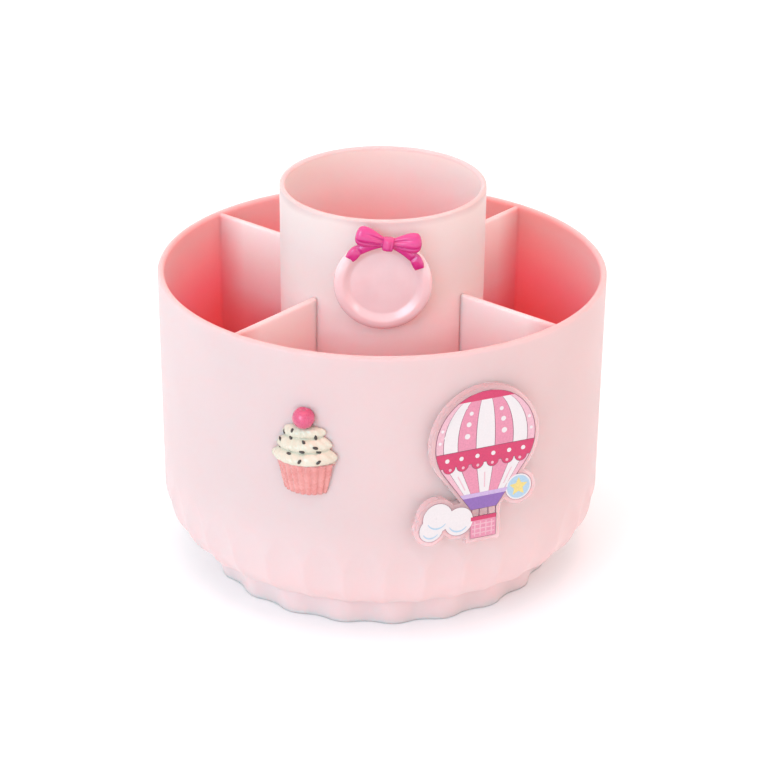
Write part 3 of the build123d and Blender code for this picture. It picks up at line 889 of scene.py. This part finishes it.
chips_shell = bmesh.new()
for count in range(1, chip_count + 1):
    aside, upward = [(count * step) % 1.0 for step in chip_steps]
    sideways = chip_spread * (2 * aside - 1)
    chip(chips_shell, sideways, chip_lowest + chip_climb * upward, chip_lean * count)
cherry_shell = skin(cherry_rings())
for shell in (chips_shell, cherry_shell):
    flat_back(shell)
cocoa_paint = painted_resin("cocoa_paint", (0.012, 0.008, 0.007), (0.040, 0.022, 0.016))
rose_paint = painted_resin("rose_paint", (0.50, 0.050, 0.130), (0.58, 0.080, 0.175))
place_piece("cupcake_chips", chips_shell, cupcake_place, cocoa_paint)
place_piece("cupcake_cherry", cherry_shell, cupcake_place, rose_paint)
print("chips and cherry placed")

# %% [markdown]
# ## The clear plaque and its print
#
# The flat charm at the right is a board of clear acrylic with a printed layer on its face. The
# board keeps its CAD shape and gets a see-through finish, so the pink wall shows at its margin.
# Its pale pink tint, brighter than the wall, is painted light over the shade behind the board.
# The print is built of thin flat shapes, one level above the other. Each colour lies on a
# slightly larger plum shape, which leaves an even ink line round it.

# %% Clear board and inks
board_face, ink_step, ink_line = 2.63, 0.02, 0.17


def clear_acrylic():
    """Clear sheet with a pale pink tint brighter than the wall, painted light over the shade behind the
    board; it lets most light pass and keeps a faint gloss.
    """
    # Painted light: the pink tint is brighter than the wall, to lift the shadow behind the board.
    finish, _, shader = clouded(
        "clear_acrylic", (0.90, 0.62, 0.63), (0.95, 0.66, 0.67), (40.0,), (500.0, 0.03, 0.08)
    )
    set_inputs(shader, IOR=1.49, Alpha=0.35)
    return finish


def ink(name, colour, shade=0.88):
    """Printed colour with the faint grain of a dot screen under a clear gloss."""
    darker = tuple(channel * shade for channel in colour)
    finish, _, shader = clouded(name, darker, colour, (1800.0, 1.0), (300.0, 0.24, 0.38))
    set_inputs(shader, Coat_Weight=0.3, Coat_Roughness=0.06)
    return finish


dress("acrylic_plaque", clear_acrylic())
inks = {
    "plum": ink("plum_ink", (0.16, 0.045, 0.085)),
    "white": ink("white_ink", (0.64, 0.62, 0.62), shade=0.96),
    "rose": ink("rose_ink", (0.62, 0.225, 0.325)),
    "blush": ink("blush_ink", (0.66, 0.39, 0.455)),
    "crimson": ink("crimson_ink", (0.52, 0.022, 0.105)),
    "violet": ink("violet_ink", (0.205, 0.10, 0.36)),
    "lilac": ink("lilac_ink", (0.47, 0.36, 0.58)),
    "sky": ink("sky_ink", (0.34, 0.51, 0.63)),
    "lemon": ink("lemon_ink", (0.68, 0.56, 0.19)),
}
print("inks mixed:", ", ".join(inks))

# %% [markdown]
# A print is only outlines filled with ink. Each helper returns the corners of one outline, in
# order and anticlockwise, so that any of them can be grown for an ink line or given a little
# thickness and laid on the board.

# %% Outlines to print
def disc(across, height, radius, steps=56):
    """Outline of a disc."""
    return [
        (across + radius * math.cos(turn), height + radius * math.sin(turn)) for turn in turns(steps)
    ]


def bar(start, end, width):
    """Outline of a straight bar between two points."""
    start, end = Vector(start), Vector(end)
    way = (end - start).normalized() * width / 2
    aside = Vector((way.y, -way.x))
    return [tuple(corner) for corner in (start + aside, end + aside, end - aside, start - aside)]


def arc(across, height, radius, start, end, width, steps=20):
    """Outline of a curved stroke about a centre, from one angle in degrees to another."""
    angles = [math.radians(start + (end - start) * step / steps) for step in range(steps + 1)]
    taper = [math.sin(math.pi * (0.06 + 0.88 * step / steps)) ** 0.5 for step in range(steps + 1)]
    outer, inner = [], []
    for angle, share in zip(angles, taper):
        for side, edge in ((1, outer), (-1, inner)):
            reach = radius + side * share * width / 2
            edge.append((across + reach * math.cos(angle), height + reach * math.sin(angle)))
    return outer + inner[::-1]


def star(across, height, radius):
    """Outline of a five-pointed star."""
    corners = []
    for step in range(10):
        reach = radius if step % 2 == 0 else radius * 0.48
        turn = math.pi / 2 + math.pi * step / 5
        corners.append((across + reach * math.cos(turn), height + reach * math.sin(turn)))
    return corners


def grown(outline, amount):
    """An outline moved outwards along its corners' bisectors."""
    result = []
    for index, corner in enumerate(outline):
        corner = Vector(corner)
        way_in = (corner - Vector(outline[index - 1])).normalized()
        way_out = (Vector(outline[(index + 1) % len(outline)]) - corner).normalized()
        normal = Vector((way_in.y + way_out.y, -way_in.x - way_out.x))
        stretch = max(0.35, normal.length / 2)
        result.append(tuple(corner + normal.normalized() * (amount / stretch)))
    return result


def printed(name, colour, level, outlines):
    """One printed colour: its flat shapes, each a hair above the last, joined in a piece."""
    shell = bmesh.new()
    for count, outline in enumerate(outlines):
        low = board_face + ink_step * (level + count / (len(outlines) + 1))
        skin([[Vector((x, y, out)) for x, y in outline] for out in (low, low + ink_step)], shell)
    return place_piece(name, shell, plaque_place, inks[colour], smooth=False)


print("outline helpers ready")

# %% [markdown]
# The picture is a hot-air balloon over a cloud, in the pinks of the holder. Its panels follow
# the balloon's own width at each height, so they narrow towards the crown and the mouth as sewn
# panels do. Dots, scallops, weave and short curved strokes give it the fine line work of a
# drawn print.

# %% Balloon
balloon_radius, balloon_across, balloon_up = 17.6, 1.6, 8.6
balloon_taper = math.radians(35.0)
mouth_half = 4.5
taper_level = balloon_up - balloon_radius * math.sin(balloon_taper)
taper_half = balloon_radius * math.cos(balloon_taper)
mouth_level = taper_level - (taper_half - mouth_half) / math.tan(balloon_taper)
balloon_top = balloon_up + balloon_radius - 0.05
panel_angles = (-90, -58, -34, -11, 11, 34, 58, 90)
panel_edges = [math.sin(math.radians(angle)) for angle in panel_angles]
seam_share = 0.006
skirt_top, band_low, band_high, crown_low = 0.14, 0.40, 0.52, 0.93


def balloon_level(share):
    """Height at a share of the way from the balloon's mouth to its top."""
    return mouth_level + (balloon_top - mouth_level) * share


def half_width(level):
    """Half the balloon's width at a height: a circle that runs into straight sides."""
    if level < taper_level:
        return mouth_half + (level - mouth_level) * math.tan(balloon_taper)
    return math.sqrt(max(0.0, balloon_radius**2 - (level - balloon_up) ** 2))


def panel(left, right, low=0.0, high=1.0, steps=40):
    """Outline of a strip of the balloon between two shares of its half width."""
    levels = [balloon_level(low + (high - low) * step / steps) for step in range(steps + 1)]
    right_side = [(balloon_across + right * half_width(level), level) for level in levels]
    left_side = [(balloon_across + left * half_width(level), level) for level in levels]
    return right_side + left_side[::-1]


def on_balloon(sideways, share):
    """A point at a share of the half width, at a share of the height."""
    level = balloon_level(share)
    return balloon_across + sideways * half_width(level), level


balloon = panel(-1, 1)
panel_pairs = list(zip(panel_edges, panel_edges[1:]))
panels = [panel(left + seam_share, right - seam_share) for left, right in panel_pairs]
panel_middles = [(left + right) / 2 for left, right in panel_pairs]
under_print = printed("print_under_balloon", "white", -1.2, [grown(balloon, ink_line)])
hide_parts("plaque_print")
printed("print_balloon_line", "plum", 0, [grown(balloon, ink_line)])
printed("print_white_panels", "white", 1.1, panels[1::2])
printed("print_rose_panels", "rose", 1.1, panels[2:5:2])
printed("print_blush_panels", "blush", 1.1, panels[0::6])
print("balloon of", len(panels), "panels; its mouth is at", round(mouth_level, 2), "mm")

# %% [markdown]
# The trimmings are placed by shares of the balloon's width and height, so they follow it if its
# size changes. A scalloped band is a strip with a row of discs along its lower edge.

# %% Trimmings of the balloon
scallop_radius, stroke_width = 2.05, 0.35
scallop_places = [0.93 * place for place in (-0.86, -0.54, -0.18, 0.18, 0.54, 0.86)]
scallops = [disc(*on_balloon(place, band_low), scallop_radius) for place in scallop_places]
band = panel(-1, 1, band_low, band_high)
band_middle = (band_low + band_high) / 2
dot_rows = ((0.64, 0.95), (0.74, 0.85), (0.83, 0.70))
panel_dots = [
    disc(*on_balloon(panel_middles[index], share), size) for index in (2, 4) for share, size in dot_rows
]
side_dots = [
    disc(*on_balloon(panel_middles[index], share), 0.55) for index in (0, 6) for share in (0.62, 0.72)
]
band_dots = [disc(*on_balloon(place, band_middle), 0.75) for place in scallop_places]
scallop_dots = [disc(*on_balloon(place, band_low - 0.02), 0.5) for place in scallop_places]
stroke_low, stroke_high = skirt_top + 0.04, band_low - 0.09
low_strokes = [
    bar(on_balloon(place, stroke_low), on_balloon(place, stroke_high), stroke_width)
    for place in panel_middles[1::2]
]
band_lines = [grown(shape, ink_line) for shape in scallops + [band]]
printed("print_balloon_dots", "white", 2.3, panel_dots + side_dots)
printed("print_low_strokes", "blush", 2.3, low_strokes)
printed("print_band_line", "plum", 2.3, band_lines)
printed("print_band", "crimson", 3.5, scallops + [band])
printed("print_band_dots", "white", 4.7, band_dots)
printed("print_scallop_dots", "blush", 4.7, scallop_dots)
printed("print_skirt", "violet", 2.3, [panel(-1, 1, 0.0, skirt_top)])
printed("print_skirt_trim", "lilac", 3.5, [panel(-1, 1, skirt_top - 0.035, skirt_top)])
printed("print_crown", "crimson", 2.3, [panel(-1, 1, crown_low, 1.0)])
highlight = arc(balloon_across, balloon_up, balloon_radius - 3.0, 118, 152, 1.1)
glint = disc(balloon_across - 14.2, balloon_up + 3.4, 0.6)
printed("print_highlight", "white", 4.7, [highlight, glint])
print("band with", len(scallops), "scallops")

# %% [markdown]
# The smaller motifs share one plum layer for all their ink lines. A white layer under it keeps
# the wall's colour out of the ink, as the white underprint of a real acrylic charm does.

# %% Basket, cloud and star
rope_drop, basket_width, basket_height = 3.5, 9.0, 7.0
basket_top = mouth_level - rope_drop
basket_bottom, basket_half = basket_top - basket_height, basket_width / 2
basket_left, basket_right = balloon_across - basket_half, balloon_across + basket_half
rope_width, weave_width, weave_margin = 0.35, 0.4, 0.5
cloud_puffs = ((-14.8, -16.4, 5.2), (-7.2, -19.0, 5.0), (-17.0, -20.2, 4.2))
badge_across, badge_up, badge_radius = 13.9, -10.4, 4.6
basket = bar((balloon_across, basket_top), (balloon_across, basket_bottom), basket_width)
basket_rim = bar((basket_left, basket_top), (basket_right, basket_top), 1.4)
ropes = [
    bar(
        (balloon_across + place * mouth_half, mouth_level),
        (balloon_across + place * basket_half, basket_top),
        rope_width,
    )
    for place in (-0.95, -0.35, 0.35, 0.95)
]
weave_across = [
    bar((basket_left + weave_margin, level), (basket_right - weave_margin, level), weave_width)
    for level in (basket_top - 2.2, basket_top - 3.8, basket_top - 5.4)
]
weave_up = [
    bar((across, basket_top - 1.2), (across, basket_bottom + weave_margin), weave_width)
    for across in [balloon_across + place for place in (-3.0, -1.0, 1.0, 3.0)]
]
puffs = [disc(*puff) for puff in cloud_puffs]
puff_strokes = [
    arc(across, height, radius * 0.72, 205, 320, 0.55) for across, height, radius in cloud_puffs
]
badge = disc(badge_across, badge_up, badge_radius)
lines = [grown(shape, ink_line) for shape in [basket, basket_rim, badge] + puffs] + ropes
printed("print_under_lines", "white", -1.2, lines)
printed("print_lines", "plum", 0.3, lines)
printed("print_basket", "rose", 1.6, [basket])
printed("print_weave", "blush", 2.7, weave_across + weave_up)
printed("print_basket_rim", "crimson", 3.9, [basket_rim])
printed("print_cloud", "white", 1.6, puffs)
printed("print_cloud_strokes", "sky", 2.8, puff_strokes)
printed("print_badge", "white", 1.6, [badge])
printed("print_badge_sky", "sky", 2.7, [disc(badge_across, badge_up, badge_radius - 0.55)])
printed("print_star", "lemon", 3.8, [star(badge_across, badge_up, badge_radius * 0.74)])
print("basket, cloud and star printed")

# %% [markdown]
# ## Hidden hardware
#
# The ball ring, the pivot and the pad show only when the holder is tipped up or taken apart,
# but they get true finishes as well: bright rolled steel, dull zinc plate, waxy white acetal,
# foam with open cells and clear set glue.

# %% Steel, acetal, foam and glue
def steel(name, low, high, roughness):
    """Metal with a fine mottled grain."""
    finish, _, shader = clouded(name, low, high, (600.0, 4.0), (900.0, *roughness))
    set_inputs(shader, Metallic=1.0)
    return finish


def acetal():
    """Waxy white bearing plastic."""
    finish, tree, shader = clouded(
        "white_acetal", (0.82, 0.82, 0.79), (0.88, 0.88, 0.86), (90.0,), (400.0, 0.30, 0.42)
    )
    rough_skin(tree, shader, noise(tree, 2500.0), 0.05, 0.0001)
    return finish


def foam():
    """Soft foam: a voronoi pattern gives the small open cells."""
    finish, tree, shader = new_finish("pad_foam")
    cells = node(tree, "ShaderNodeTexVoronoi", Scale=1400.0)
    tree.links.new(object_position(tree), cells.inputs["Vector"])
    tint = blend(tree, cells.outputs["Distance"], (0.52, 0.50, 0.49), (0.66, 0.64, 0.63))
    tree.links.new(tint, shader.inputs["Base Color"])
    shader.inputs["Roughness"].default_value = 0.95
    rough_skin(tree, shader, cells.outputs["Distance"], 0.5, 0.0004)
    return finish


def clear_glue():
    """Set glue, slightly cloudy."""
    finish, _, shader = clouded(
        "clear_glue", (0.93, 0.80, 0.80), (0.98, 0.90, 0.90), (200.0,), (700.0, 0.15, 0.35)
    )
    set_inputs(shader, IOR=1.45, Alpha=0.12)
    return finish


dress("bearing_balls", steel("bright_steel", (0.62, 0.62, 0.64), (0.74, 0.74, 0.76), (0.06, 0.14)))
zinc_plate = steel("zinc_plate", (0.50, 0.51, 0.54), (0.66, 0.67, 0.70), (0.26, 0.42))
for fastener in ("pivot_screw", "pivot_washer", "cup_screws"):
    dress(fastener, zinc_plate)
white_acetal = acetal()
for bearing in ("ball_cage", "pivot_bush"):
    dress(bearing, white_acetal)
dress("anti_slip_pad", foam())
set_glue = clear_glue()
for spot in ("dish_glue", "bow_glue", "cupcake_glue", "plaque_glue"):
    dress(spot, set_glue)
print("hidden hardware dressed")
